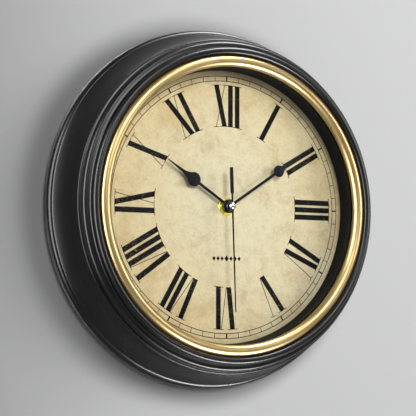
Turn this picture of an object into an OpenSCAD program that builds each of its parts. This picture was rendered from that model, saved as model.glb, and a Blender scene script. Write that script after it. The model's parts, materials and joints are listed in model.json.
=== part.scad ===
// Round wall clock: moulded case, gold ring, glass, printed dial, three hands
// and a battery quartz movement with its whole gear train.
// Every piece is laid out lying down, with x to the right, y up the dial and
// z out of the wall (z = 0 is the wall). upright() then stands it on its edge,
// so that +Z is up and the front faces -Y. All sizes are in millimetres.

/* [Case] */
// Diameter of the case where it meets the wall
case_d = 305; // [302:1:308]
// Thickness of the moulded case wall
wall = 2.4; // [2:0.2:2.8]
// Number of posts that carry the dial plate
post_count = 6; // [4:1:8]

/* [Glass and dial] */
// Thickness of the glass
glass_t = 2; // [1.6:0.2:2]
// Thickness of the stiff plate behind the dial
plate_t = 2.5; // [2:0.25:2.5]
// Thickness of the printed dial sheet
dial_t = 0.5; // [0.3:0.1:0.6]

/* [Hands] */
// Length of the hour hand from the centre
hour_len = 68; // [60:1:72]
// Length of the minute hand from the centre
minute_len = 98; // [90:1:104]
// Length of the second hand from the centre
second_len = 88.4; // [80:0.2:100]
// Angle of the hour hand, clockwise from twelve
hour_angle = 302.8; // [0:0.2:360]
// Angle of the minute hand, clockwise from twelve
minute_angle = 56.6; // [0:0.2:360]
// Angle of the second hand, clockwise from twelve
second_angle = 178; // [0:0.5:360]

/* [Movement] */
// Width of the movement housing
house_w = 56; // [56:1:58]
// Thickness of the movement housing walls
house_wall = 1.4; // [1:0.2:1.4]
// Tooth size of the going train
train_m = 0.35; // [0.345:0.005:0.35]
// Tooth size of the motion work behind the dial
motion_m = 0.4; // [0.39:0.01:0.4]

/* [Hidden] */
$fn = 128;
eps = 0.01;

// Case: radii count inwards from the wall edge, heights count from the wall
case_r = case_d / 2;
case_h = 50;
cove_c = [case_r + 35.4, 38];
cove_r = 48.4;
ledge_z = 42;
ledge_r = case_r - 34;
mouth_r = case_r - 28.1;
lip_r = 3.5;
lip_c = [mouth_r + 3.1, case_h - lip_r];
shoulder_r = 3;
shoulder_c = [case_r - 18.5, 40];
post_r = 4;
post_ring_r = case_r - 21.5;
post_turn = 30;

// Ring, glass, spacer, dial and plate
ring_base_z = ledge_z + glass_t;
ring_r = 4.7;
ring_c = [case_r - 32.8, 45.2];
well_r = case_r - 38;
dial_z = 25.5;
plate_z = dial_z - plate_t;
plate_r = case_r - 16.5;
screw_r = 1.25;

// Keyhole hanger at the top
hang_y = case_r - 26.5;
hang_entry_r = 4.5;
hang_slot_r = 2.2;
hang_rise = 8.5;
hang_t = 1;
web_z = 2;
web_t = 3;
web_edge_y = case_r - 37;
hang_screw_x = 16;

// Movement housing
house_x = house_w / 2;
house_lo = -30;
house_hi = 27;
house_back = 6;
house_split = 15;
house_front = 22;
house_corner = 3;
front_wall = 1.2;
bay_top = -13.9;
bay_wall = 1.2;
bridge_z = 17.2;
bridge_t = 1.2;
bush_r = 4;
bush_top = 28.9;

// Shafts, one inside the other: each runs in the next with a small gap
run_gap = 0.05;
seconds_r = 0.45;
minute_tube_r = 1.6;
hour_tube_r = 2.6;
pivot_r = 0.5;
pivot_z = house_back + 0.6;
setting_r = 1.5;
stud_r = 0.9;

// Wheel heights, as [bottom, top]
inter_wheel_z = [7.9, 8.6];
inter_pinion_z = [8.6, 10];
rotor_pinion_z = [7.7, 8.9];
magnet_z = [10, 14];
seconds_wheel_z = [9, 9.8];
seconds_pinion_z = [9.8, 11.2];
third_wheel_z = [10.1, 10.8];
third_pinion_z = [10.8, 12.6];
centre_wheel_z = [11.5, 12.3];
cannon_pinion_z = [12.3, 14.6];
motion_wheel_z = [13.2, 14];
motion_pinion_z = [14, 16.6];
hour_wheel_z = [15.2, 16.2];
hour_hand_z = [29.3, 30];
minute_hand_z = [31.3, 32];
second_hand_z = [36, 36.4];
minute_cap_h = 1.4;
hour_hub_r = 5.9;
hour_disc = [39.5, 5.8];
minute_hub_r = 4.4;
minute_disc = [57.5, 5];

// Tooth counts
inter_n = [50, 10];
rotor_n = 10;
seconds_n = [60, 8];
third_n = [60, 8];
centre_n = [64, 12];
motion_n = [36, 10];
hour_n = 40;
setting_n = 18;

// Arbor places: each stands one mesh distance from its neighbour
inter_turn = 190;
rotor_turn = 120;
third_turn = 100;
motion_turn = -15;
setting_turn = 0;
third_gap = (seconds_n[1] + third_n[0]) * train_m / 2;
motion_gap = (centre_n[1] + motion_n[0]) * motion_m / 2;
centre_m = 2 * third_gap / (third_n[1] + centre_n[0]);
hour_m = 2 * motion_gap / (motion_n[1] + hour_n);
inter_at = polar((seconds_n[0] + inter_n[1]) * train_m / 2, inter_turn);
rotor_at = inter_at + polar((inter_n[0] + rotor_n) * train_m / 2, rotor_turn);
third_at = polar(third_gap, third_turn);
motion_at = polar(motion_gap, motion_turn);
setting_at = motion_at + polar((motion_n[0] + setting_n) * motion_m / 2, setting_turn);

// Rotor drive and circuit
coil_x = -21.5;
coil_y = [12.8, 22.2];
coil_z = 12;
core_w = 3;
stator_z = [11.5, 12.5];
stator_top = 25.2;
board_x = [10, 25.9];
board_y = [5, 25];
board_z = [8.5, 9.3];
contact_t = 0.35;

// Battery, size AA
cell_r = 7.25;
cell_len = 50.5;
cell_nub = 1.2;
cell_at = [26, -21.4, 13.4];

function polar(r, a) = r * [cos(a), sin(a)];
function arc(c, r, a, b, n = 10) =
  [for (i = [0:n]) c + polar(r, a + (b - a) * i / n)];

// Tooth points: height over the pitch circle in modules, width as a share of the pitch
function tooth(n) = n < 20
  ? [[-1.2, 0.38], [0, 0.38], [0.7, 0.14]]
  : [[-1.25, 0.48], [0, 0.4], [0.75, 0.14]];
function gear_outline(n, m, phase) =
  [for (i = [0:n - 1]) for (side = [-1, 1]) for (k = side < 0 ? [0, 1, 2] : [2, 1, 0])
    let (pitch_r = n * m / 2,
         r = pitch_r + tooth(n)[k][0] * m,
         share = tooth(n)[k][1] * (k == 2 ? pitch_r / r : 1))
    polar(r, phase + (i + side * share / 2) * 360 / n)];
// Phase that puts a space of gear b on a tooth of gear a, along the line from a to b
function meshed(turn, phase_a, n_a, n_b) =
  turn + 180 + 360 / n_b * (0.5 - (phase_a - turn) * n_a / 360);

module upright() {
  rotate([90, 0, 0]) children();
}

module disc(r, z) {
  translate([0, 0, z[0]]) cylinder(r = r, h = z[1] - z[0]);
}

module tube(r, hole, z) {
  difference() {
    disc(r, z);
    disc(hole, [z[0] - 1, z[1] + 1]);
  }
}

module gear(n, m, z, phase = 0) {
  translate([0, 0, z[0]]) linear_extrude(z[1] - z[0]) polygon(gear_outline(n, m, phase));
}

module at(place) {
  translate([place[0], place[1], 0]) children();
}

module block(x, y, z) {
  translate([x[0], y[0], z[0]]) cube([x[1] - x[0], y[1] - y[0], z[1] - z[0]]);
}

module rounded_block(x, y, z, r) {
  block([x[0] + r, x[1] - r], y, z);
  block(x, [y[0] + r, y[1] - r], z);
  for (px = [x[0] + r, x[1] - r], py = [y[0] + r, y[1] - r]) at([px, py]) disc(r, z);
}

module around(count, r, first = 0) {
  for (i = [0:count - 1]) rotate(first + i * 360 / count) translate([0, r, 0]) children();
}

// ---- case, ring, glass and dial ----

function case_outline() = concat(
  [[case_r, 0]],
  arc([case_r - 4, 5], 4, 0, 76, 8),
  arc(cove_c, cove_r, 216.5, 181.8, 14),
  [[case_r - 14.2, 37.9], [case_r - 15.4, 38.3]],
  arc(shoulder_c, shoulder_r, 12, 90, 8),
  [[lip_c[0] + lip_r + 1.5, 43.2], [lip_c[0] + lip_r + 0.3, 43.8]],
  arc(lip_c, lip_r, 0, 152, 12),
  [[mouth_r, ledge_z], [ledge_r, ledge_z], [ledge_r, ledge_z - 2.5]]);

function case_inside() = concat(
  [[case_r - 18.1, ledge_z - 2.5], [case_r - 17.3, 37.4]],
  arc(cove_c, cove_r + wall, 183.5, 214.5, 10),
  [[case_r - wall - 1.6, 7.6], [case_r - wall, 5.2], [case_r - wall, 0]]);

function lip_hollow() =
  [[mouth_r + 2.5, ledge_z - 3], [mouth_r + 2.5, 45], [mouth_r + 4, 45],
   [mouth_r + 6.2, 42.4], [mouth_r + 9.6, 40.4], [mouth_r + 10, ledge_z - 3]];

module case_frame() {
  color("#1d1d1f") upright() difference() {
    union() {
      difference() {
        rotate_extrude() polygon(concat(case_outline(), case_inside()));
        rotate_extrude() polygon(lip_hollow());
      }
      around(post_count, post_ring_r, post_turn) disc(post_r, [dial_z, ledge_z - 1.5]);
      hanger_web();
    }
    around(post_count, post_ring_r, post_turn) disc(screw_r, [dial_z - 1, ledge_z - 4]);
    for (side = [-1, 1]) at([side * hang_screw_x, hang_y + 3])
      disc(screw_r, [web_z - 1, web_z + web_t + 3]);
  }
}

// Web across the top of the case, with a window behind the keyhole
module hanger_web() {
  difference() {
    union() {
      intersection() {
        disc(case_r - wall + 0.8, [web_z, web_z + web_t]);
        block([-case_r, case_r], [web_edge_y, case_r], [0, case_h]);
      }
      for (side = [-1, 1]) at([side * hang_screw_x, hang_y + 3])
        disc(3, [web_z + web_t - eps, web_z + web_t + 4]);
    }
    block([-8, 8], [hang_y - 7, hang_y + hang_rise + 4.5], [0, case_h]);
  }
}

module bezel_ring() {
  color("#c9a45c") upright() rotate_extrude() polygon(concat(
    [[ring_c[0] + ring_r - 0.2, ring_base_z]],
    arc(ring_c, ring_r, 16, 180, 16),
    [[ring_c[0] - ring_r, ring_base_z]]));
}

module glass() {
  color("#dfe9ee", 0.3) upright() disc(ledge_r + 3.5, [ledge_z, ledge_z + glass_t]);
}

module spacer_ring() {
  color("#1b1b1d") upright() rotate_extrude() polygon(
    [[well_r, dial_z + dial_t], [well_r + 2, dial_z + dial_t], [well_r + 2, ledge_z - 5.5],
     [ledge_r - 0.3, ledge_z - 4], [ledge_r - 0.3, ledge_z], [well_r, ledge_z]]);
}

module dial() {
  color("#e8dcb4") upright() tube(well_r + 3, bush_r + 0.2, [dial_z, dial_z + dial_t]);
}

module dial_plate() {
  color("#6b4f35") upright() difference() {
    tube(plate_r, bush_r + 0.2, [plate_z, dial_z]);
    around(post_count, post_ring_r, post_turn) disc(screw_r + 0.25, [plate_z - 1, dial_z + 1]);
  }
}

// Pan head screw pointing along +z, head face at z = 0
module pan_screw(length, head_r, head_h) {
  difference() {
    union() {
      disc(head_r * 0.8, [-head_h, 0]);
      disc(head_r, [-head_h * 0.7, 0]);
      disc(screw_r - run_gap, [0, length]);
    }
    for (turn = [0, 90]) rotate(turn)
      block([-head_r * 0.5, head_r * 0.5], [-0.3, 0.3], [-head_h - 1, -head_h * 0.5]);
  }
}

module plate_screws() {
  color("#b9bbbe") upright() around(post_count, post_ring_r, post_turn)
    translate([0, 0, plate_z]) pan_screw(9, 3.1, 1.9);
}

module hanger_plate() {
  color("#9fa3a6") upright() difference() {
    rounded_block([-22, 22], [hang_y - 10, hang_y + 15], [web_z - hang_t, web_z], 3);
    at([0, hang_y]) disc(hang_entry_r, [0, case_h]);
    at([0, hang_y + hang_rise]) disc(hang_slot_r, [0, case_h]);
    block([-hang_slot_r, hang_slot_r], [hang_y, hang_y + hang_rise], [0, case_h]);
    for (side = [-1, 1]) at([side * hang_screw_x, hang_y + 3]) disc(screw_r + 0.15, [0, case_h]);
  }
}

module hanger_screws() {
  color("#b9bbbe") upright() for (side = [-1, 1])
    translate([side * hang_screw_x, hang_y + 3, web_z - hang_t]) pan_screw(6, 2.6, 0.9);
}

// ---- movement housing and fixed pieces ----

module house_shell(z) {
  difference() {
    rounded_block([-house_x, house_x], [house_lo, house_hi], z, house_corner);
    block([-house_x + house_wall, house_x - house_wall],
      [house_lo + 1.2, bay_top], [z[0] - 1, z[1] + 1]);
    block([-house_x + house_wall, house_x - house_wall],
      [bay_top + bay_wall, house_hi - house_wall], [z[0] - 1, z[1] + 1]);
    for (side = [-1, 1]) translate([side * (house_x - house_wall - 0.45), bay_top - 1, z[0] - 1])
      block([-0.45, 0.45], [0, bay_wall + 2], [0, z[1] - z[0] + 2]);
  }
}

module front_housing() {
  color("#26272a") upright() difference() {
    union() {
      house_shell([house_split, house_front]);
      rounded_block([-house_x, house_x], [house_lo, house_hi],
        [house_front - front_wall, house_front], house_corner);
      disc(bush_r + 2.5, [house_front - eps, house_front + 0.4]);
      disc(bush_r, [house_front - front_wall, bush_top]);
    }
    disc(hour_tube_r + run_gap, [house_split, bush_top + 1]);
  }
}

bridge_posts = [[-25, -10.4], [25, -10.2], [-25, 24.2], [6, 24]];

module rear_housing() {
  color("#1f2022") upright() difference() {
    union() {
      house_shell([house_back, house_split]);
      block([-house_x + 2, house_x - 2], [bay_top, house_hi - 1],
        [house_back, house_back + front_wall]);
      for (p = bridge_posts) at(p) {
        disc(1, [house_back + 1, bridge_z]);
        disc(pivot_r, [bridge_z - eps, bridge_z + bridge_t]);
      }
      for (p = [[12.5, 22.5], [23, 7.5]]) at(p) disc(1.5, [house_back + 1, board_z[0]]);
    }
    for (p = [inter_at, rotor_at, third_at, [0, 0]]) at(p)
      disc(pivot_r + run_gap, [pivot_z, house_back + 2]);
    at(setting_at) disc(setting_r + run_gap, [0, house_back + 2]);
  }
}

module train_bridge() {
  color("#d9d7cf") upright() difference() {
    union() {
      rounded_block([-26.2, 26.2], [-12.4, 25.2], [bridge_z, bridge_z + bridge_t], 2);
      at(motion_at) disc(stud_r, [motion_wheel_z[0] - 0.3, bridge_z + eps]);
    }
    for (p = [inter_at, rotor_at, third_at]) at(p) disc(pivot_r + run_gap, [0, case_h]);
    at(setting_at) disc(setting_r - 0.5 + run_gap, [0, case_h]);
    disc(hour_tube_r + 0.6, [0, case_h]);
    for (p = bridge_posts) at(p) disc(pivot_r + run_gap, [0, case_h]);
  }
}

module rubber_washer() {
  color("#2b2b2b") upright() tube(9.5, bush_r + 2.6, [house_front, plate_z]);
}

module brass_washer() {
  color("#b5a642") upright()
    tube(7.6, bush_r + 0.1, [dial_z + dial_t, dial_z + dial_t + 0.6]);
}

module hex_nut() {
  nut_z = dial_z + dial_t + 0.6;
  color("#b5a23a") upright() difference() {
    intersection() {
      translate([0, 0, nut_z]) cylinder(r = 7, h = 2, $fn = 6);
      translate([0, 0, nut_z - 4]) cylinder(r1 = 11.2, r2 = 6.2, h = 6);
    }
    disc(bush_r + run_gap, [nut_z - 1, nut_z + 4]);
  }
}

module coil_bobbin() {
  color("#e6e2d4") upright() translate([coil_x, 0, coil_z]) rotate([-90, 0, 0]) difference() {
    union() {
      disc(2.3, coil_y);
      disc(4.4, [coil_y[0], coil_y[0] + 0.8]);
      disc(4.4, [coil_y[1] - 0.8, coil_y[1]]);
    }
    block([-core_w / 2 - 0.05, core_w / 2 + 0.05], [-0.55, 0.55], [coil_y[0] - 1, coil_y[1] + 1]);
  }
}

module coil_winding() {
  color("#b4622d") upright() translate([coil_x, 0, coil_z]) rotate([-90, 0, 0])
    tube(3.9, 2.3, [coil_y[0] + 0.8, coil_y[1] - 0.8]);
}

// Laminated iron loop: round the rotor, up through the coil and back
module stator() {
  arm_x = [-15.5, -12.5];
  color("#8d8f92") upright() difference() {
    union() {
      at(rotor_at) disc(5.6, stator_z);
      block([coil_x - core_w / 2, coil_x + core_w / 2], [rotor_at[1], stator_top], stator_z);
      block(arm_x, [rotor_at[1], stator_top], stator_z);
      block([coil_x - core_w / 2, arm_x[1]], [stator_top - 2.6, stator_top], stator_z);
    }
    at(rotor_at) disc(3.3, [0, case_h]);
    for (side = [0, 180]) at(rotor_at) rotate(side + 25)
      block([3, 3.8], [-0.5, 0.5], [0, case_h]);
  }
}

module circuit_board() {
  color("#1f5a35") upright() difference() {
    block(board_x, board_y, board_z);
    at([24.6, 23.6]) disc(0.9, [0, case_h]);
  }
}

module driver_chip() {
  color("#141414") upright() intersection() {
    translate([17.5, 13.5, board_z[1] - 2.6]) sphere(r = 3.8);
    block(board_x, board_y, [board_z[1], board_z[1] + 2]);
  }
}

module quartz_crystal() {
  color("#c7c9cc") upright() translate([22.5, 13, board_z[1] + 1]) rotate([-90, 0, 0]) {
    disc(1, [0, 6]);
    for (side = [-0.35, 0.35]) translate([side, 0, 0]) disc(0.15, [-2, eps]);
  }
}

module positive_contact() {
  wall_x = house_x - house_wall;
  x = [wall_x - 0.15 - contact_t, wall_x - 0.15];
  color("#c2a24a") upright() {
    block(x, [-26, -17], [9, 18]);
    block(x, [-17 - eps, 7.8], [9.4, 11.4]);
    block([24.2, x[1]], [6.2, 7.8], [board_z[1] + 0.05, board_z[1] + 0.05 + contact_t]);
  }
}

// Flat strip with a tapered spring that presses on the cell
module negative_contact() {
  x = [-house_x + house_wall + 0.15, -house_x + house_wall + 0.15 + contact_t];
  run_y = [bay_top + bay_wall + 0.2, bay_top + bay_wall + 0.2 + contact_t];
  up_x = [23.2, 23.2 + contact_t];
  color("#b8bbbe") upright() {
    block(x, [-26, -17], [9, 18]);
    block(x, [-17 - eps, run_y[1]], [7.4, 10]);
    block([x[0], up_x[1]], run_y, [7.4, 8.2]);
    block(up_x, [run_y[0], 5.9], [7.4, 8.2]);
    block([up_x[0] - 2, up_x[1]], [5.2, 5.9], [8.05, 8.4]);
    translate([x[1], cell_at[1], cell_at[2]]) rotate([0, 90, 0]) taper_spring();
  }
}

// Conical spring, swept as a ring of six points along its turns
module taper_spring() {
  turns = 2.5;
  steps = 50;
  wire_r = 0.22;
  sides = 6;
  ring = [for (i = [0:steps]) for (k = [0:sides - 1])
    let (turn = 360 * turns * i / steps, k_turn = 360 * k / sides,
         r = 4.6 - 2.8 * i / steps + wire_r * cos(k_turn))
    [r * cos(turn), r * sin(turn), 0.15 + 1.1 * i / steps + wire_r * sin(k_turn)]];
  walls = [for (i = [0:steps - 1]) for (k = [0:sides - 1])
    let (a = i * sides + k, b = i * sides + (k + 1) % sides)
    each [[a, b + sides, a + sides], [a, b, b + sides]]];
  first = [for (k = [sides - 1:-1:0]) k];
  last = [for (k = [0:sides - 1]) steps * sides + k];
  polyhedron(ring, concat(walls, [first, last]), convexity = 6);
}

module battery() {
  color("#3a6b4f") upright() translate(cell_at) rotate([0, -90, 0]) rotate_extrude()
    polygon([[0, 0], [2.7, 0], [2.7, cell_nub], [cell_r - 0.8, cell_nub],
      [cell_r, cell_nub + 0.8], [cell_r, cell_len - 0.6], [cell_r - 0.6, cell_len],
      [0, cell_len]]);
}

// ---- gear train ----

module arbor(top) {
  disc(pivot_r, [pivot_z + 0.1, top]);
}

arbor_top = bridge_z + bridge_t;
inter_phase = meshed(inter_turn, 0, seconds_n[0], inter_n[1]);

module rotor_magnet() {
  color("#4c4d50") upright() at(rotor_at) tube(2.8, pivot_r, magnet_z);
}

module rotor_pinion() {
  color("#e9e6dc") upright() at(rotor_at) {
    gear(rotor_n, train_m, rotor_pinion_z, meshed(rotor_turn, 0, inter_n[0], rotor_n));
    disc(1.2, [rotor_pinion_z[1] - eps, magnet_z[0]]);
    arbor(arbor_top);
  }
}

module intermediate_wheel() {
  color("#eae7dd") upright() at(inter_at) {
    gear(inter_n[0], train_m, inter_wheel_z);
    gear(inter_n[1], train_m, inter_pinion_z, inter_phase);
    arbor(arbor_top);
  }
}

module seconds_wheel() {
  color("#eae7dd") upright() difference() {
    union() {
      gear(seconds_n[0], train_m, seconds_wheel_z);
      gear(seconds_n[1], train_m, seconds_pinion_z);
    }
    disc(seconds_r, [0, case_h]);
  }
}

module seconds_arbor() {
  color("#a9abae") upright() disc(seconds_r, [pivot_z + 0.1, second_hand_z[1] + 0.8]);
}

module third_wheel() {
  color("#eae7dd") upright() at(third_at) {
    gear(third_n[0], train_m, third_wheel_z, meshed(third_turn, 0, seconds_n[1], third_n[0]));
    gear(third_n[1], centre_m, third_pinion_z);
    arbor(arbor_top);
  }
}

module centre_wheel() {
  color("#eae7dd") upright() difference() {
    union() {
      gear(centre_n[0], centre_m, centre_wheel_z,
        meshed(third_turn + 180, 0, third_n[1], centre_n[0]));
      gear(centre_n[1], motion_m, cannon_pinion_z);
      disc(minute_tube_r, [centre_wheel_z[0], minute_hand_z[1] + minute_cap_h - 0.1]);
    }
    disc(seconds_r + run_gap, [0, case_h]);
  }
}

motion_phase = meshed(motion_turn, 0, centre_n[1], motion_n[0]);

module motion_wheel() {
  color("#eae7dd") upright() at(motion_at) difference() {
    union() {
      gear(motion_n[0], motion_m, motion_wheel_z, motion_phase);
      gear(motion_n[1], hour_m, motion_pinion_z);
    }
    disc(stud_r + run_gap, [0, case_h]);
  }
}

module hour_wheel() {
  color("#eae7dd") upright() difference() {
    union() {
      gear(hour_n, hour_m, hour_wheel_z, meshed(motion_turn + 180, 0, motion_n[1], hour_n));
      disc(hour_tube_r, [hour_wheel_z[0], hour_hand_z[1] + 0.3]);
    }
    disc(minute_tube_r + run_gap, [0, case_h]);
  }
}

module setting_gear() {
  color("#eae7dd") upright() at(setting_at) {
    gear(setting_n, motion_m, motion_wheel_z,
      meshed(setting_turn, motion_phase, motion_n[0], setting_n));
    disc(setting_r, [3, bridge_z - 0.2]);
    disc(setting_r - 0.5, [bridge_z - 0.2 - eps, arbor_top]);
  }
}

module setting_knob() {
  color("#17181a") upright() at(setting_at) difference() {
    disc(5.2, [3, house_back - 0.3]);
    for (i = [0:17]) rotate(i * 20) translate([5.5, 0, 0]) disc(0.55, [0, case_h]);
    disc(setting_r, [0, case_h]);
  }
}

// ---- hands ----

// Spade hand along +y: hub, thin stem, round disc, hollow shoulders and a point
module spade_hand(hub_r, hole_r, disc_y, disc_r, tip_y, z) {
  shoulder = [[0.74, 0.67], [0.46, 1.12], [0.29, 1.58], [0.21, 2.1]];
  half = concat(
    [[0, disc_y], [disc_r * 0.9, disc_y]],
    [for (p = shoulder) [disc_r * p[0], disc_y + disc_r * p[1]]],
    [[0.3, tip_y - 0.3], [0, tip_y]]);
  difference() {
    union() {
      disc(hub_r, z);
      translate([0, disc_y, 0]) disc(disc_r, z);
      block([-1.2, 1.2], [hole_r, disc_y], z);
      for (flip = [0, 1]) mirror([flip, 0, 0])
        translate([0, 0, z[0]]) linear_extrude(z[1] - z[0]) polygon(half);
    }
    disc(hole_r, [0, case_h]);
  }
}

module hour_hand() {
  color("#16161f") upright() rotate(-hour_angle)
    spade_hand(hour_hub_r, 3.3, hour_disc[0], hour_disc[1], hour_len, hour_hand_z);
}

module hour_collet() {
  color("#19191c") upright() {
    tube(3.3, hour_tube_r, [hour_hand_z[0] - 0.3, hour_hand_z[1] + 0.3]);
    tube(hour_hub_r - 0.1, hour_tube_r, [hour_hand_z[1], hour_hand_z[1] + 0.6]);
  }
}

module minute_hand() {
  color("#16161f") upright() rotate(-minute_angle)
    spade_hand(minute_hub_r, 2.2, minute_disc[0], minute_disc[1], minute_len, minute_hand_z);
}

module minute_collet() {
  color("#19191c") upright() {
    tube(2.2, minute_tube_r, [minute_hand_z[0] - 0.5, minute_hand_z[1] + 0.2]);
    tube(minute_hub_r - 0.5, minute_tube_r, [minute_hand_z[1], minute_hand_z[1] + minute_cap_h]);
    tube(3.6, minute_tube_r, [minute_hand_z[0] - 0.5, minute_hand_z[0]]);
  }
}

module second_hand() {
  tail = 32.3;
  neck = 10;
  needle = [[-0.7, 0], [0.7, 0], [0.5, second_len - 0.4], [0, second_len], [-0.5, second_len - 0.4]];
  paddle = [[-0.8, 0], [0.8, 0], [0.8, -neck], [1.65, -neck - 1.2], [1.65, -tail + 0.5],
    [1.2, -tail], [-1.2, -tail], [-1.65, -tail + 0.5], [-1.65, -neck - 1.2], [-0.8, -neck]];
  color("#131316") upright() rotate(-second_angle) difference() {
    union() {
      disc(2.6, second_hand_z);
      for (outline = [needle, paddle]) translate([0, 0, second_hand_z[0]])
        linear_extrude(second_hand_z[1] - second_hand_z[0]) polygon(outline);
    }
    disc(1.4, [0, case_h]);
  }
}

// Bush under the second hand, with a polished dome over its end
module second_hand_bush() {
  dome_r = 3.4;
  dome_h = 2;
  top = second_hand_z[1];
  color("#d6d8da") upright() difference() {
    union() {
      disc(1.4, [second_hand_z[0] - 2.2, top + eps]);
      disc(2.2, [second_hand_z[0] - 0.4, second_hand_z[0]]);
      intersection() {
        translate([0, 0, top + dome_h - dome_r]) sphere(r = dome_r);
        disc(dome_r, [top, top + dome_h]);
      }
    }
    disc(seconds_r, [0, top + 0.8]);
  }
}

case_frame();
bezel_ring();
glass();
spacer_ring();
dial();
dial_plate();
plate_screws();
hanger_plate();
hanger_screws();
front_housing();
rear_housing();
train_bridge();
rubber_washer();
brass_washer();
hex_nut();
coil_bobbin();
coil_winding();
stator();
circuit_board();
driver_chip();
quartz_crystal();
positive_contact();
negative_contact();
battery();
rotor_magnet();
rotor_pinion();
intermediate_wheel();
seconds_wheel();
seconds_arbor();
second_hand();
second_hand_bush();
third_wheel();
centre_wheel();
minute_hand();
minute_collet();
motion_wheel();
hour_wheel();
hour_hand();
hour_collet();
setting_gear();
setting_knob();
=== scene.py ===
import json
from math import asin, cos, degrees, pi, radians, sin, sqrt

import bmesh
import bpy
from mathutils import Matrix, Vector


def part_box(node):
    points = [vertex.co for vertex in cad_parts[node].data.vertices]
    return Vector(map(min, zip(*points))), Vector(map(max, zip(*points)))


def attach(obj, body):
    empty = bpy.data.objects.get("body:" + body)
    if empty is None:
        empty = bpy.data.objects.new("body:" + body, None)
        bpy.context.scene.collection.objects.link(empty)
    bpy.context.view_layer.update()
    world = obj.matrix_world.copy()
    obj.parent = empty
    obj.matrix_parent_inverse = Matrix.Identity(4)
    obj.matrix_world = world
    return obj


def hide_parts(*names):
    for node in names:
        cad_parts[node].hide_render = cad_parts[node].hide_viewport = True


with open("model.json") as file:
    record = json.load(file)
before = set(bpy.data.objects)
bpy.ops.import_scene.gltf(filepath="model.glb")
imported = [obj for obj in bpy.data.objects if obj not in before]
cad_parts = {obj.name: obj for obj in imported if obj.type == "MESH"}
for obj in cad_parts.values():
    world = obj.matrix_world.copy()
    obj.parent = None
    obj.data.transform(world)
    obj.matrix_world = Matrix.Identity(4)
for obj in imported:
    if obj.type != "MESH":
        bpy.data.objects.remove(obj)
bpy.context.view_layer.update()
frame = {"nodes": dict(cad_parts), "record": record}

mm = 0.001
upright = Matrix.Rotation(pi / 2, 4, "X")  # laid out flat, then stood up to face -Y
scene = bpy.context.scene
scene.view_settings.view_transform = "Standard"

# Everything is laid out as across, up and out of the wall, in millimetres,
# and sizes that the model already has are read from its nodes.


def reach(node):
    low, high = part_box(node)
    return high.x / mm


def depth(node):
    low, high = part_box(node)
    return -high.y / mm, -low.y / mm


caseRadius = reach("case_frame")
wellRadius = caseRadius - 38.0  # the dial shows inside it


class Signal:  # a socket that takes part in ordinary arithmetic
    def __init__(self, paint, socket):
        self.paint = paint
        self.socket = socket

    def math(self, operation, first, second=0.0):
        return self.paint.add("ShaderNodeMath", {"operation": operation}, [first, second])

    def sine(self):
        return self.math("SINE", self)

    def atMost(self, limit):
        return self.math("MINIMUM", self, limit)

    def __add__(self, other):
        return self.math("ADD", self, other)

    def __sub__(self, other):
        return self.math("SUBTRACT", self, other)

    def __rsub__(self, other):
        return self.math("SUBTRACT", other, self)

    def __mul__(self, other):
        return self.math("MULTIPLY", self, other)

    def __truediv__(self, other):
        return self.math("DIVIDE", self, other)

    def __gt__(self, other):
        return self.math("GREATER_THAN", self, other)

    def __lt__(self, other):
        return self.math("LESS_THAN", self, other)

    __radd__ = __add__
    __rmul__ = __mul__


class Paint:  # a material under construction
    def __init__(self, name):
        self.material = bpy.data.materials.new(name)
        self.material.use_nodes = True
        self.tree = self.material.node_tree
        self.tree.nodes.clear()

    def add(self, kind, settings, sockets, out=0):
        node = self.tree.nodes.new(kind)
        for key, value in settings.items():
            setattr(node, key, value)
        pairs = sockets.items() if isinstance(sockets, dict) else enumerate(sockets)
        for key, value in pairs:
            if isinstance(value, Signal):
                self.tree.links.new(value.socket, node.inputs[key])
            else:
                node.inputs[key].default_value = value
        return Signal(self, node.outputs[out])

    def place(self):
        return self.add("ShaderNodeTexCoord", {}, {}, "Object")

    def across(self, place):
        return self.add("ShaderNodeSeparateXYZ", {}, [place], "X")

    def up(self, place):
        return self.add("ShaderNodeSeparateXYZ", {}, [place], "Z")

    def stretched(self, place, scale):
        return self.add("ShaderNodeVectorMath", {"operation": "MULTIPLY"}, [place, scale])

    def length(self, place):
        return self.add("ShaderNodeVectorMath", {"operation": "LENGTH"}, [place], "Value")

    def noise(self, place, scale, detail=3.0, roughness=0.55, warp=0.0):
        return self.add("ShaderNodeTexNoise", {}, {
            "Vector": place, "Scale": scale, "Detail": detail,
            "Roughness": roughness, "Distortion": warp})

    def span(self, value, low, high, soft=True):
        style = "SMOOTHSTEP" if soft else "LINEAR"
        return self.add("ShaderNodeMapRange", {"interpolation_type": style}, {
            "Value": value, "From Min": low, "From Max": high})

    def mix(self, factor, first, second):
        sockets = {0: factor, 6: first, 7: second}
        return self.add("ShaderNodeMix", {"data_type": "RGBA"}, sockets, 2)

    def bump(self, height, strength, distance):
        return self.add("ShaderNodeBump", {}, {
            "Height": height, "Strength": strength, "Distance": distance})

    def finish(self, **sockets):
        names = {
            "colour": "Base Color", "metallic": "Metallic", "roughness": "Roughness",
            "coat": "Coat Weight", "coatRoughness": "Coat Roughness", "normal": "Normal",
            "gloss": "Specular IOR Level"}
        named = {names[key]: value for key, value in sockets.items()}
        self.close(self.add("ShaderNodeBsdfPrincipled", {}, named))
        return self.material

    def close(self, shader):
        output = self.tree.nodes.new("ShaderNodeOutputMaterial")
        self.tree.links.new(shader.socket, output.inputs["Surface"])


def rgb(red, green, blue):
    return (red, green, blue, 1.0)


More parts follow.
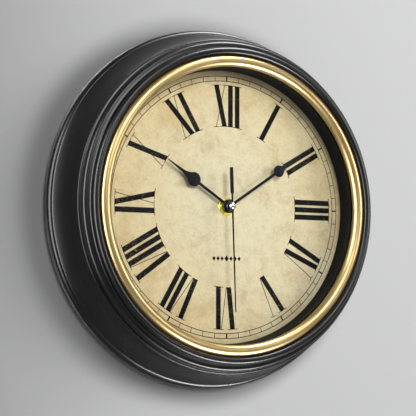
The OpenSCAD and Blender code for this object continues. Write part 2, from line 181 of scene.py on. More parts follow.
def mouldedBlack(name, tone, roughness, grain, dust=0.0, gloss=0.5):
    paint = Paint(name)
    place = paint.place()
    cloud = paint.noise(place, 26.0, 4.0)
    fine = paint.noise(place, 2600.0, 2.0)
    rub = paint.span(paint.noise(place, 320.0, 4.0, 0.7), 0.55, 0.8)
    worn = paint.mix(rub * 0.25, rgb(tone, tone, tone * 1.06), rgb(*[tone * 2.2 + 0.004] * 3))
    colour = paint.mix(paint.span(cloud, 0.45, 0.8) * dust, worn, rgb(0.12, 0.12, 0.118))
    return paint.finish(
        colour=colour, roughness=cloud * 0.14 + rub * 0.05 + (roughness - 0.08), gloss=gloss,
        normal=paint.bump(fine, grain, 0.00012))


def ringGold():  # satin lacquered brass
    paint = Paint("ringGold")
    place = paint.place()
    turned = paint.stretched(place, (12.0, 900.0, 12.0))
    streaks = paint.noise(turned, 8.0, 3.0)
    cloud = paint.noise(place, 45.0, 4.0)
    specks = paint.span(paint.noise(place, 900.0, 3.0, 0.7), 0.68, 0.8)
    lacquer = paint.mix(cloud, rgb(0.33, 0.23, 0.09), rgb(0.43, 0.32, 0.16))
    return paint.finish(
        colour=paint.mix(specks * 0.35, lacquer, rgb(0.3, 0.19, 0.07)), metallic=0.92,
        roughness=cloud * 0.08 + specks * 0.08 + 0.3,
        normal=paint.bump(streaks, 0.06, 0.0001))


def clearGlass():
    paint = Paint("clearGlass")
    smear = paint.span(paint.noise(paint.place(), 30.0, 5.0, 0.7), 0.5, 0.9)
    through = paint.add("ShaderNodeBsdfTransparent", {}, {"Color": rgb(0.985, 0.995, 0.99)})
    mirror = paint.add("ShaderNodeBsdfGlossy", {}, {
        "Color": rgb(0.9, 0.95, 0.95), "Roughness": smear * 0.05 + 0.02})
    edge = paint.add("ShaderNodeFresnel", {}, {"IOR": 1.35})
    share = (edge * 0.35).atMost(0.014)
    paint.close(paint.add("ShaderNodeMixShader", {}, [share, through, mirror]))
    return paint.material


def dialPaper(outer):
    # aged sheet: cream middle, warmer and blotched towards the edge, with fibres and foxing
    paint = Paint("dialPaper")
    place = paint.place()
    across, up = paint.across(place), paint.up(place)
    radius = paint.length(paint.stretched(place, (1.0, 0.0, 1.0))) / (outer * mm)
    cloud = paint.noise(place, 14.0, 5.0, 0.6, 0.6)
    blotch = paint.noise(place, 38.0, 6.0, 0.7, 0.3)
    mottle = paint.noise(place, 170.0, 6.0, 0.75)
    grain = paint.noise(place, 900.0, 3.0, 0.7)
    fibre = paint.noise(paint.stretched(place, (900.0, 1.0, 2600.0)), 1.0, 3.0, 0.7, 2.0)
    fox = paint.span(paint.noise(place, 240.0, 3.0, 0.6), 0.7, 0.78)
    warmth = paint.span(radius * 0.7 + cloud * 0.75 - across * 1.6, 0.45, 1.25)
    base = paint.mix(warmth, rgb(0.85, 0.745, 0.49), rgb(0.81, 0.63, 0.32))
    pale = paint.span(across * 4.0 - up * 4.0 + blotch, 0.7, 1.3)
    base = paint.mix(pale * 0.6, base, rgb(0.8, 0.77, 0.58))
    stain = paint.span(blotch + radius * 0.14, 0.54, 0.78)
    base = paint.mix(stain * 0.7, base, rgb(0.62, 0.42, 0.18))
    base = paint.mix(paint.span(mottle, 0.42, 0.68) * 0.3, base, rgb(0.5, 0.38, 0.19))
    base = paint.mix(paint.span(grain, 0.52, 0.75) * 0.3, base, rgb(0.42, 0.33, 0.18))
    base = paint.mix(paint.span(grain, 0.5, 0.28) * 0.25, base, rgb(0.95, 0.9, 0.72))
    base = paint.mix(fibre * 0.1, base, rgb(0.9, 0.84, 0.64))
    base = paint.mix(fox * 0.4, base, rgb(0.4, 0.25, 0.1))
    rim = paint.span(radius, 0.955, 1.0)
    base = paint.mix(rim * 0.3, base, rgb(0.42, 0.33, 0.18))
    return paint.finish(
        colour=base, roughness=mottle * 0.15 + 0.62, gloss=0.25,
        normal=paint.bump(fibre + mottle, 0.12, 0.00008))


def printInk():
    # worn black print: fine flecks of paper show through, more in some numerals
    paint = Paint("printInk")
    place = paint.place()
    wear = paint.span(paint.noise(place, 24.0, 2.0), 0.42, 0.62)
    flecks = paint.span(paint.noise(place, 1100.0, 3.0, 0.8), 0.6, 0.68)
    rubs = paint.span(paint.noise(place, 480.0, 4.0, 0.75), 0.58, 0.68)
    worn = flecks * (wear * 0.85 + 0.12) + rubs * wear * 0.35
    colour = paint.mix(worn, rgb(0.0035, 0.003, 0.003), rgb(0.42, 0.36, 0.22))
    return paint.finish(colour=colour, roughness=rubs * 0.15 + 0.6, gloss=0.06)


def handPaint():
    paint = Paint("handPaint")
    place = paint.place()
    cloud = paint.noise(place, 90.0, 4.0)
    orange = paint.noise(place, 1400.0, 2.0)
    rub = paint.span(paint.noise(place, 500.0, 4.0, 0.7), 0.6, 0.8)
    colour = paint.mix(rub * 0.15, rgb(0.003, 0.0025, 0.008), rgb(0.015, 0.014, 0.028))
    return paint.finish(
        colour=colour, roughness=cloud * 0.15 + 0.32, gloss=0.12,
        normal=paint.bump(orange, 0.05, 0.0001))


def metal(name, light, dark, roughness, scale=200.0, grain=(1.0, 1.0, 1.0), strength=0.08):
    paint = Paint(name)
    place = paint.place()
    brushed = paint.noise(paint.stretched(place, grain), scale, 4.0, 0.6)
    cloud = paint.noise(place, 60.0, 5.0, 0.6)
    tarnish = paint.span(cloud, 0.35, 0.75)
    return paint.finish(
        colour=paint.mix(tarnish, rgb(*light), rgb(*dark)), metallic=1.0,
        roughness=brushed * 0.16 + tarnish * 0.1 + (roughness - 0.08),
        normal=paint.bump(brushed, strength, 0.0001))


def plainPlastic(name, light, dark, roughness, grain=0.1):
    paint = Paint(name)
    place = paint.place()
    cloud = paint.noise(place, 140.0, 4.0)
    fine = paint.noise(place, 3200.0, 2.0)
    return paint.finish(
        colour=paint.mix(paint.span(cloud, 0.3, 0.75), rgb(*light), rgb(*dark)),
        roughness=cloud * 0.15 + (roughness - 0.08), normal=paint.bump(fine, grain, 0.0001))


def hardboard():
    # smooth brown board with the screen marks of its press on the back
    paint = Paint("hardboard")
    place = paint.place()
    fibres = paint.noise(paint.stretched(place, (260.0, 60.0, 900.0)), 1.0, 5.0, 0.7, 1.5)
    blotch = paint.noise(place, 30.0, 5.0, 0.6)
    screen = (paint.across(place) * 2600.0).sine() * (paint.up(place) * 2600.0).sine()
    brown = paint.mix(blotch, rgb(0.2, 0.115, 0.055), rgb(0.31, 0.19, 0.1))
    flecked = paint.mix(paint.span(fibres, 0.5, 0.8), brown, rgb(0.42, 0.29, 0.17))
    return paint.finish(
        colour=flecked, roughness=fibres * 0.2 + 0.6, gloss=0.3,
        normal=paint.bump(screen * 0.5 + fibres, 0.45, 0.00025))


def woundCopper():
    paint = Paint("woundCopper")
    place = paint.place()
    turns = (paint.up(place) * 52000.0).sine()
    cloud = paint.noise(place, 300.0, 4.0)
    colour = paint.mix(cloud, rgb(0.62, 0.25, 0.1), rgb(0.42, 0.13, 0.05))
    return paint.finish(
        colour=colour, metallic=0.85, roughness=cloud * 0.1 + 0.28, coat=0.4,
        coatRoughness=0.1, normal=paint.bump(turns, 0.5, 0.00006))


def circuitGreen():
    paint = Paint("circuitGreen")
    place = paint.place()
    laid = paint.add("ShaderNodeVectorRotate", {"rotation_type": "X_AXIS"}, {
        "Vector": place, "Angle": pi / 2})
    tracks = paint.add("ShaderNodeTexBrick", {"offset": 0.35}, {
        "Vector": laid, "Scale": 420.0, "Mortar Size": 0.05, "Color1": rgb(0, 0, 0),
        "Color2": rgb(0, 0, 0), "Mortar": rgb(1, 1, 1)}, "Fac")
    mask = paint.noise(place, 180.0, 2.0) > 0.5
    lines = tracks * mask
    weave = paint.noise(place, 1500.0, 3.0)
    green = paint.mix(weave, rgb(0.02, 0.13, 0.045), rgb(0.035, 0.19, 0.07))
    colour = paint.mix(lines, green, rgb(0.06, 0.3, 0.12))
    return paint.finish(
        colour=colour, roughness=weave * 0.12 + 0.3, coat=0.3,
        normal=paint.bump(lines, 0.4, 0.00005))


def cellJacket(node):
    # green sleeve, a copper band at the plus end and bare metal at both ends
    low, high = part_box(node)
    paint = Paint("cellJacket")
    place = paint.place()
    across = paint.across(place)
    scuff = paint.noise(place, 240.0, 5.0, 0.7)
    cloud = paint.noise(place, 60.0, 3.0)
    sleeve = paint.mix(cloud, rgb(0.014, 0.09, 0.05), rgb(0.02, 0.13, 0.07))
    band = paint.span(across, high.x - 0.0142, high.x - 0.0138, False)
    line = band * (1.0 - paint.span(across, high.x - 0.0134, high.x - 0.013, False))
    colour = paint.mix(band, sleeve, rgb(0.62, 0.3, 0.13))
    colour = paint.mix(line, colour, rgb(0.75, 0.72, 0.65))
    ends = (across > high.x - 0.0016) + (across < low.x + 0.0007)
    colour = paint.mix(ends, colour, rgb(0.6, 0.6, 0.61))
    return paint.finish(
        colour=colour, metallic=ends * 0.5 + band * 0.45,
        roughness=scuff * 0.2 + 0.18, coat=0.3, coatRoughness=0.1)


def rubber():
    paint = Paint("washerRubber")
    place = paint.place()
    fine = paint.noise(place, 1800.0, 3.0)
    bloom = paint.span(paint.noise(place, 200.0, 4.0), 0.4, 0.8)
    colour = paint.mix(bloom * 0.4, rgb(0.012, 0.012, 0.012), rgb(0.05, 0.05, 0.052))
    return paint.finish(colour=colour, roughness=bloom * 0.1 + 0.7,
                        normal=paint.bump(fine, 0.2, 0.0001))


paints = {
    "case_black": mouldedBlack("caseBlack", 0.004, 0.3, 0.06, 0.01, 0.3),
    "ring_gold": ringGold(),
    "clear_glass": clearGlass(),
    "well_black": mouldedBlack("wellBlack", 0.002, 0.6, 0.15, 0.0, 0.08),
    "dial_paper": dialPaper(wellRadius),
    "hardboard": hardboard(),
    "screw_steel": metal("screwSteel", (0.62, 0.62, 0.6), (0.42, 0.41, 0.38), 0.3),
    "hanger_steel": metal(
        "hangerSteel", (0.52, 0.53, 0.54), (0.4, 0.4, 0.4), 0.38, 300.0, (1.0, 1.0, 14.0)),
    "housing_black": mouldedBlack("housingBlack", 0.016, 0.55, 0.5, 0.06),
    "bridge_white": plainPlastic("bridgeWhite", (0.7, 0.68, 0.6), (0.6, 0.57, 0.48), 0.42),
    "washer_rubber": rubber(),
    "nut_brass": metal("nutBrass", (0.66, 0.6, 0.1), (0.45, 0.38, 0.07), 0.34),
    "bobbin_white": plainPlastic("bobbinWhite", (0.72, 0.7, 0.62), (0.6, 0.57, 0.48), 0.45),
    "copper_wire": woundCopper(),
    "stator_iron": metal("statorIron", (0.4, 0.41, 0.43), (0.27, 0.27, 0.28), 0.45),
    "board_green": circuitGreen(),
    "chip_epoxy": plainPlastic(
        "chipEpoxy", (0.012, 0.012, 0.012), (0.02, 0.02, 0.02), 0.2, 0.05),
    "crystal_can": metal("crystalCan", (0.75, 0.75, 0.77), (0.6, 0.6, 0.62), 0.2),
    "contact_brass": metal("contactBrass", (0.72, 0.55, 0.24), (0.55, 0.4, 0.16), 0.3),
    "contact_nickel": metal("contactNickel", (0.7, 0.69, 0.66), (0.52, 0.51, 0.48), 0.28),
    "cell_jacket": cellJacket("battery"),
    "magnet_ferrite": plainPlastic(
        "magnetFerrite", (0.03, 0.03, 0.033), (0.06, 0.06, 0.06), 0.6, 0.5),
    "gear_white": plainPlastic("gearWhite", (0.76, 0.74, 0.67), (0.68, 0.65, 0.56), 0.35, 0.06),
    "arbor_steel": metal("arborSteel", (0.62, 0.62, 0.64), (0.5, 0.5, 0.51), 0.22),
    "hand_black": handPaint(),
    "collet_black": plainPlastic(
        "colletBlack", (0.008, 0.008, 0.011), (0.02, 0.02, 0.024), 0.3, 0.06),
    "dome_steel": metal("domeSteel", (0.5, 0.5, 0.51), (0.36, 0.36, 0.37), 0.13, strength=0.02),
    "knob_black": mouldedBlack("knobBlack", 0.014, 0.5, 0.3, 0.04)}
inkPaint = printInk()

slots = {part["node"]: part["material_slot"] for part in frame["record"]["subparts"]}
for node, piece in frame["nodes"].items():
    piece.data.materials.clear()
    piece.data.materials.append(paints[slots[node]])
print("materials: done")


def arcPoints(centre, radius, start, end, count):
    turns = [radians(start + (end - start) * i / count) for i in range(count + 1)]
    return [(centre[0] + radius * cos(t), centre[1] + radius * sin(t)) for t in turns]


def curvePoints(corners, count):
    # a cubic between the first and the last of four points
    found = []
    for i in range(count + 1):
        t = i / count
        shares = ((1 - t) ** 3, 3 * t * (1 - t) ** 2, 3 * t * t * (1 - t), t ** 3)
        found.append(tuple(sum(s * p[k] for s, p in zip(shares, corners)) for k in (0, 1)))
    return found


def makePiece(name, mesh, material, body, node=None, sharp=32):
    mesh.name = name
    mesh.materials.clear()
    mesh.materials.append(material)
    mesh.shade_smooth()
    mesh.set_sharp_from_angle(angle=radians(sharp))
    piece = bpy.data.objects.new(name, mesh)
    scene.collection.objects.link(piece)
    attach(piece, body)
    if node:
        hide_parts(node)
    return piece


def meshFrom(bm, name, cleanBy=1e-7):
    bmesh.ops.remove_doubles(bm, verts=bm.verts, dist=cleanBy)
    bmesh.ops.recalc_face_normals(bm, faces=bm.faces)
    mesh = bpy.data.meshes.new(name)
    bm.to_mesh(mesh)
    bm.free()
    return mesh


def roundEdges(bm, width):
    sharp = [e for e in bm.edges if len(e.link_faces) == 2
             and e.calc_face_angle(0.0) > radians(35)]
    bmesh.ops.bevel(bm, geom=sharp, offset=width * mm, affect="EDGES", segments=2,
                    profile=0.5, material=-1, clamp_overlap=True)


def turnedPart(name, outline, steps=96, soften=0.0, at=(0.0, 0.0)):
    # an outline of (radius, height) points, turned round the clock's axis
    bm = bmesh.new()
    points = [bm.verts.new((r * mm, -d * mm, 0.0)) for r, d in outline]
    edges = [bm.edges.new(pair) for pair in zip(points, points[1:] + points[:1])]
    bmesh.ops.spin(bm, geom=points + edges, axis=(0, 1, 0), cent=(0, 0, 0),
                   angle=2 * pi, steps=steps, use_merge=True)
    bmesh.ops.remove_doubles(bm, verts=bm.verts, dist=1e-7)
    bmesh.ops.dissolve_degenerate(bm, edges=bm.edges, dist=1e-7)
    bmesh.ops.recalc_face_normals(bm, faces=bm.faces)
    if soften:
        roundEdges(bm, soften)
    bmesh.ops.translate(bm, verts=bm.verts, vec=(at[0] * mm, 0.0, at[1] * mm))
    return meshFrom(bm, name)


def ringPoints(centre, radius, count=48):
    return arcPoints(centre, radius, 0, 360 - 360 / count, count - 1)


def cutPlate(name, outlines, low, high, edge, turn=0.0):
    # closed outlines filled between two heights, with rounded edges
    shape = bpy.data.curves.new(name, "CURVE")
    shape.dimensions = "2D"
    shape.fill_mode = "BOTH"
    for outline in outlines:
        spline = shape.splines.new("POLY")
        spline.points.add(len(outline) - 1)
        for point, (x, y) in zip(spline.points, outline):
            point.co = (x * mm, y * mm, 0.0, 1.0)
        spline.use_cyclic_u = True
    shape.extrude = (high - low) / 2 * mm - edge * mm
    shape.bevel_depth = edge * mm
    shape.bevel_resolution = 2
    shape.offset = -edge * mm
    holder = bpy.data.objects.new(name, shape)
    scene.collection.objects.link(holder)
    bpy.context.view_layer.update()
    ready = holder.evaluated_get(bpy.context.evaluated_depsgraph_get())
    mesh = bpy.data.meshes.new_from_object(ready)
    bpy.data.objects.remove(holder)
    bpy.data.curves.remove(shape)
    lift = Matrix.Translation((0, 0, (low + high) / 2 * mm))
    mesh.transform(upright @ Matrix.Rotation(radians(-turn), 4, "Z") @ lift)
    bm = bmesh.new()
    bm.from_mesh(mesh)
    bpy.data.meshes.remove(mesh)
    return meshFrom(bm, name, 2e-6)


case = {
    "radius": caseRadius, "wall": 2.4, "height": 50.0, "ledge": 42.0,
    "coveCentre": (35.4, 38.0), "coveRadius": 48.4, "bandRound": 4.0,
    "shoulderRadius": 3.0, "lipRadius": 3.0, "steps": 256,
    "mouth": 28.1, "seat": 34.0,
    "webEdge": 37.0, "webLow": 2.0, "webHigh": 5.0, "keyholeIn": 26.5, "windowHalf": 8.0,
    "posts": 6, "postRing": 21.5, "postRadius": 4.0, "postHole": 1.25, "postTurn": 30,
    "postLow": 25.6, "postHigh": 40.5,
    "sleeveAcross": 16.0, "sleeveIn": 23.5, "sleeveRadius": 3.0, "sleeveHigh": 9.0}


def caseOutline(c):
    # from the rear rim round the outside to the lip, then back along the inside
    r, mouth, seat = c["radius"], c["radius"] - c["mouth"], c["radius"] - c["seat"]
    cove = (r + c["coveCentre"][0], c["coveCentre"][1])
    lip = (mouth + 3.6, c["height"] - c["lipRadius"])
    outside = [(r - 0.5, 0.0), (r - 0.15, 0.15), (r, 0.5)]
    outside += arcPoints((r - 4, 5.0), c["bandRound"], 0, 78, 14)
    outside += arcPoints(cove, c["coveRadius"], 216.4, 182.2, 36)
    outside += arcPoints((r - 14.2, 36.6), 1.2, 20, 80, 6)
    outside += [(r - 15.1, 38.0)]
    outside += arcPoints((r - 18.5, 40.0), c["shoulderRadius"], -8, 90, 14)
    outside += [(lip[0] + 4.6, 43.0), (lip[0] + 3.6, 43.3), (lip[0] + 3.1, 43.9)]
    outside += arcPoints(lip, c["lipRadius"], -10, 164, 26)
    inside = [(mouth, 47.0), (mouth, c["ledge"]), (seat, c["ledge"])]
    inside += [(seat, c["ledge"] - 2.5), (mouth + 2.5, c["ledge"] - 2.5)]
    inside += [(mouth + 2.5, 45.0), (mouth + 4, 45.0), (mouth + 6.2, 42.4)]
    inside += [(mouth + 9.6, 40.4), (mouth + 10, c["ledge"] - 2.5), (r - 17.3, 37.4)]
    inside += arcPoints(cove, c["coveRadius"] + c["wall"], 183.5, 214.5, 18)
    inside += [(r - 4.0, 7.6), (r - 2.6, 5.6), (r - 2.4, 0.4), (r - 2.1, 0.1), (r - 1.8, 0.0)]
    return outside + inside


def hangerWebOutline(c):
    # the part of a disc above a straight edge, with a window for the keyhole
    edge, rim = c["radius"] - c["webEdge"], c["radius"] - c["wall"] + 0.8
    swing = degrees(asin(edge / rim))
    hang, half = c["radius"] - c["keyholeIn"], c["windowHalf"]
    window = [(half, hang - 7), (half, hang + 13), (-half, hang + 13), (-half, hang - 7)]
    return [arcPoints((0, 0), rim, swing, 180 - swing, 96), window]


def makeCasePiece(name, mesh, sharp=32):
    makePiece(name, mesh, paints["case_black"], "clock", "case_frame", sharp)


makeCasePiece("caseShell", turnedPart("caseShell", caseOutline(case), case["steps"]), 28)
makeCasePiece("hangerWeb", cutPlate(
    "hangerWeb", hangerWebOutline(case), case["webLow"], case["webHigh"], 0.3))

post = [(case["postHole"], case["postLow"]), (case["postRadius"], case["postLow"]),
        (case["postRadius"] + 0.3, case["postHigh"]), (case["postHole"], case["postHigh"])]
for i in range(case["posts"]):
    turn = radians(case["postTurn"] + i * 360 / case["posts"])
    ring = caseRadius - case["postRing"]
    makeCasePiece(f"platePost{i + 1}", turnedPart(
        "platePost", post, 32, 0.25, (ring * sin(turn), ring * cos(turn))))

sleeve = [(case["postHole"], case["webHigh"]), (case["sleeveRadius"], case["webHigh"]),
          (case["sleeveRadius"], case["sleeveHigh"]), (case["postHole"], case["sleeveHigh"])]
for number, side in ((1, -1), (2, 1)):
    makeCasePiece(f"hangerPost{number}", turnedPart("hangerPost", sleeve, 32, 0.2, (
        side * case["sleeveAcross"], caseRadius - case["sleeveIn"])))
print("case: done")


ringSet = {
    "middle": caseRadius - 32.8, "high": 45.2, "radius": 4.7, "base": 44.0, "halfBase": 4.5}
ringOutline = [(ringSet["middle"] + ringSet["halfBase"], ringSet["base"])]
ringOutline += arcPoints((ringSet["middle"], ringSet["high"]), ringSet["radius"], 16, 184, 40)
ringOutline += [(ringSet["middle"] - ringSet["halfBase"], ringSet["base"])]
makePiece("goldRing", turnedPart("goldRing", ringOutline, case["steps"]),
          paints["ring_gold"], "clock", "bezel_ring")

paneSet = {"radius": reach("glass"), "bevel": 0.3}
paneBack, paneFront = depth("glass")
paneFlat = paneSet["radius"] - paneSet["bevel"]
paneOutline = [(0.0, paneBack), (paneFlat, paneBack),
               (paneSet["radius"], paneBack + paneSet["bevel"]),
               (paneSet["radius"], paneFront - paneSet["bevel"]),
               (paneFlat, paneFront), (0.0, paneFront)]
pane = makePiece("glassPane", turnedPart("glassPane", paneOutline, 160),
                 paints["clear_glass"], "clock", "glass", 20)
pane.visible_shadow = False

wellSet = {"wall": 2.0, "rim": reach("spacer_ring"), "rimDeep": 4.0, "flareDeep": 5.5}
wellBack, wellFront = depth("spacer_ring")
wellOuter = wellRadius + wellSet["wall"]
wellOutline = [(wellRadius + 0.4, wellBack), (wellOuter, wellBack),
               (wellOuter, wellFront - wellSet["flareDeep"]),
               (wellSet["rim"], wellFront - wellSet["rimDeep"]),
               (wellSet["rim"], wellFront), (wellRadius + 0.3, wellFront),
               (wellRadius, wellFront - 0.3), (wellRadius, wellBack + 0.4)]
makePiece("wellWall", turnedPart("wellWall", wellOutline, case["steps"]),
          paints["well_black"], "clock", "spacer_ring")
print("ring, glass and well: done")


dialPrint = {
    "face": depth("dial")[1], "thick": 0.03, "outer": 102.7, "inner": 67.6,
    "stroke": 4.5, "hair": 0.58, "serif": 0.55, "overhang": 2.3,
    "trackOuter": 110.2, "trackInner": 106.0, "line": 0.6, "tick": 0.5, "hourTick": 1.3}

# each numeral as its letters, with the place of each letter's middle across the radius
numerals = {
    1: [("I", -0.2)],
    2: [("I", -3.2), ("I", 3.2)],
    3: [("I", -6.4), ("I", 0.0), ("I", 6.4)],
    4: [("I", -7.7), ("V", 3.7)],
    5: [("V", 1.2)],
    6: [("V", -0.4), ("I", 7.8)],
    7: [("V", -3.6), ("I", 4.1), ("I", 10.6)],
    8: [("V", -6.5), ("I", 1.5), ("I", 7.9), ("I", 14.3)],
    9: [("I", -5.8), ("X", 4.0)],
    10: [("X", 0.3)],
    11: [("X", -2.4), ("I", 7.1)],
    12: [("X", -6.0), ("I", 3.6), ("I", 10.1)]}
# strokes of each letter: place at the outer end, place at the inner end, broad or hair
letters = {
    "I": [(0.0, 0.0, "stroke")],
    "V": [(-5.35, -1.7, "stroke"), (5.3, 0.7, "hair")],
    "X": [(-3.9, 3.9, "stroke"), (4.0, -3.9, "hair")]}


def inkBar(bm, outerAcross, innerAcross, width, outer, inner, turn):
    # a bar from one circle to another, its ends cut along the circles
    made = bmesh.ops.create_grid(bm, x_segments=1, y_segments=1, size=0.5)["verts"]
    for v in made:
        far = v.co.y > 0
        across = (outerAcross if far else innerAcross) + width * v.co.x
        ring = outer if far else inner
        v.co = Vector((across * mm, sqrt(ring * ring - across * across) * mm, 0.0))
    bmesh.ops.rotate(bm, verts=made, cent=(0, 0, 0),
                     matrix=Matrix.Rotation(radians(-turn), 3, "Z"))


def inkArc(bm, radius, width, start, end):
    # a thin line along a circle, clockwise from start to end in degrees
    whole = end - start >= 360
    pair = [bm.verts.new(((radius + side * width / 2) * mm * sin(radians(start)),
                          (radius + side * width / 2) * mm * cos(radians(start)), 0.0))
            for side in (-1, 1)]
    edge = bm.edges.new(pair)
    steps = max(3, int((end - start) / 1.5))
    bmesh.ops.spin(bm, geom=pair + [edge], axis=(0, 0, -1), cent=(0, 0, 0),
                   angle=radians(end - start), steps=steps, use_merge=whole)


def inkPiece(name, bm):
    bmesh.ops.remove_doubles(bm, verts=bm.verts, dist=1e-9)
    bmesh.ops.recalc_face_normals(bm, faces=bm.faces)
    for face in bm.faces:
        if face.normal.z < 0:
            face.normal_flip()
    base = list(bm.faces)
    grown = bmesh.ops.extrude_face_region(bm, geom=base, use_keep_orig=True)
    lifted = [v for v in grown["geom"] if isinstance(v, bmesh.types.BMVert)]
    bmesh.ops.translate(bm, verts=lifted, vec=(0, 0, dialPrint["thick"] * mm))
    for face in base:
        face.normal_flip()
    bmesh.ops.transform(bm, verts=bm.verts, matrix=upright @ Matrix.Translation(
        (0, 0, (dialPrint["face"] + 0.005) * mm)))
    mesh = bpy.data.meshes.new(name)
    bm.to_mesh(mesh)
    bm.free()
    return makePiece(name, mesh, inkPaint, "clock")


def serifSpans(hour, end, ring):
    # the arcs that tie the stroke ends of one numeral, joined where they overlap
    spans = []
    for letter, middle in numerals[hour]:
        for outerAt, innerAt, kind in letters[letter]:
            if letter == "V" and end == "inner":
                continue
            place = middle + (outerAt if end == "outer" else innerAt)
            half = dialPrint[kind] / 2 + dialPrint["overhang"] * (0.9 if kind == "hair" else 1.0)
            spans.append([place - half, place + half])
    spans.sort()
    joined = []
    for span in spans:
        if joined and span[0] <= joined[-1][1] + 0.1:
            joined[-1][1] = max(joined[-1][1], span[1])
        else:
            joined.append(span)
    return [tuple(degrees(asin(edge / ring)) for edge in span) for span in joined]


for hour in numerals:
    bm = bmesh.new()
    turn = hour * 30.0
    for letter, middle in numerals[hour]:
        for outerAt, innerAt, kind in letters[letter]:
            inkBar(bm, middle + outerAt, middle + innerAt, dialPrint[kind],
                   dialPrint["outer"], dialPrint["inner"], turn)
    for end in ("outer", "inner"):
        for start, stop in serifSpans(hour, end, dialPrint[end]):
            inkArc(bm, dialPrint[end], dialPrint["serif"], turn + start, turn + stop)
    inkPiece(f"numeral{hour:02d}", bm)

bm = bmesh.new()
for key in ("trackOuter", "trackInner"):
    inkArc(bm, dialPrint[key], dialPrint["line"], 0, 360)
for minute in range(60):
    width = dialPrint["hourTick"] if minute % 5 == 0 else dialPrint["tick"]
    inkBar(bm, 0.0, 0.0, width, dialPrint["trackOuter"], dialPrint["trackInner"], minute * 6.0)
inkPiece("minuteTrack", bm)

# a small row of lozenges under the centre, as place across, width and height
ornament = {"up": -43.6, "lozenges": (
    (0, 4.4, 5.0), (-4.3, 3.2, 4.0), (4.3, 3.2, 4.0), (-8.2, 3.2, 4.0), (8.2, 3.2, 4.0),
    (-12.0, 3.2, 4.0), (12.0, 3.2, 4.0))}
bm = bmesh.new()
for place, wide, high in ornament["lozenges"]:
    made = bmesh.ops.create_circle(bm, segments=4, radius=0.5, cap_ends=True)["verts"]
    bmesh.ops.scale(bm, verts=made, vec=(wide * mm, high * mm, 1.0))
    bmesh.ops.translate(bm, verts=made, vec=(place * mm, ornament["up"] * mm, 0.0))
inkPiece("dialOrnament", bm)
print("printing: done")


hourHand = {
    "name": "hourHand", "node": "hour_hand", "body": "hours", "turn": 302.8,
    "hub": 5.9, "hole": 3.3, "stem": 1.2, "discAt": 39.0, "disc": 6.0, "tip": 68.0}
minuteHand = {
    "name": "minuteHand", "node": "minute_hand", "body": "minutes", "turn": 56.6,
    "hub": 4.4, "hole": 2.2, "stem": 1.2, "discAt": 57.5, "disc": 5.0, "tip": 98.0}
secondHand = {
    "name": "secondHand", "node": "second_hand", "body": "seconds", "turn": 178.0,
    "hub": 2.6, "hole": 1.4, "needle": 0.8, "tip": 88.4, "tail": 32.3, "neck": 10.0,
    "blade": 1.65}


def mirrored(half):
    return half + [(-x, y) for x, y in reversed(half) if x > 1e-6]


def spadeOutline(hand):
    # hub, thin stem, round disc, hollow shoulders and a long point
    stem, disc, at, hub = hand["stem"], hand["disc"], hand["discAt"], hand["hub"]
    half = arcPoints((0, 0), hub, -90, degrees(asin(sqrt(1 - (stem / hub) ** 2))), 28)
    lower = -90 + degrees(asin(stem / disc))
    half += arcPoints((0, at), disc, lower, 42, 26)
    shoulder = [(0.743, 0.669), (0.45, 0.995), (0.25, 1.5), (0.2, 2.15)]
    half += curvePoints([(disc * x, at + disc * y) for x, y in shoulder], 12)[1:]
    half += [(0.34, hand["tip"] - 0.6), (0.18, hand["tip"] - 0.15), (0.0, hand["tip"])]
    return [mirrored(half), ringPoints((0, 0), hand["hole"])]


def needleOutline(hand):
    # hub, thin needle, and behind the hub a neck and a broad blade
    hub, neck, tail = hand["hub"], hand["neck"], hand["tail"]
    wide, thin = hand["blade"], hand["needle"]
    swing = degrees(asin(thin / hub))
    half = [(0.0, -tail), (wide - 0.5, -tail), (wide - 0.12, -tail + 0.14), (wide, -tail + 0.5)]
    half += [(wide, -neck - 1.5), (wide - 0.15, -neck - 0.9)]
    half += [(thin + 0.1, -neck), (thin, -neck + 0.8)]
    half += arcPoints((0, 0), hub, -90 + swing, 90 - swing, 24)
    half += [(0.5, hand["tip"] - 0.5), (0.28, hand["tip"] - 0.12), (0.0, hand["tip"])]
    return [mirrored(half), ringPoints((0, 0), hand["hole"], 32)]


for hand, outline, edge in ((hourHand, spadeOutline(hourHand), 0.16),
                            (minuteHand, spadeOutline(minuteHand), 0.16),
                            (secondHand, needleOutline(secondHand), 0.1)):
    low, high = depth(hand["node"])
    mesh = cutPlate(hand["name"], outline, low, high, edge, hand["turn"])
    makePiece(hand["name"], mesh, paints["hand_black"], hand["body"], hand["node"])

hourTop, minuteTop, secondTop = [
    depth(hand["node"])[1] for hand in (hourHand, minuteHand, secondHand)]
hourFace = hourHand["hub"] - 0.1
minuteFace = minuteHand["hub"] - 0.5
hubs = {  # name: node, body, and the outline as radius and height
    "hourCollet": ("hour_collet", "hours", [
        (2.6, hourTop - 1.0), (3.3, hourTop - 1.0), (3.3, hourTop), (hourFace - 0.15, hourTop),
        (hourFace, hourTop + 0.15), (hourFace, hourTop + 0.4), (hourFace - 0.2, hourTop + 0.6),
        (2.6, hourTop + 0.6)]),
    "minuteCollet": ("minute_collet", "minutes", [
        (1.6, minuteTop - 1.2), (3.4, minuteTop - 1.2), (3.6, minuteTop - 1.0),
        (3.6, minuteTop - 0.7), (2.2, minuteTop - 0.7), (2.2, minuteTop),
        (minuteFace, minuteTop), (minuteFace, minuteTop + 0.9),
        (minuteFace - 0.5, minuteTop + 1.4),
        (2.5, minuteTop + 1.4), (2.4, minuteTop + 1.1), (1.8, minuteTop + 1.1),
        (1.7, minuteTop + 1.4), (1.6, minuteTop + 1.4)])}
for name, (node, body, outline) in hubs.items():
    makePiece(name, turnedPart(name, outline, 72), paints["collet_black"], body,
              node)

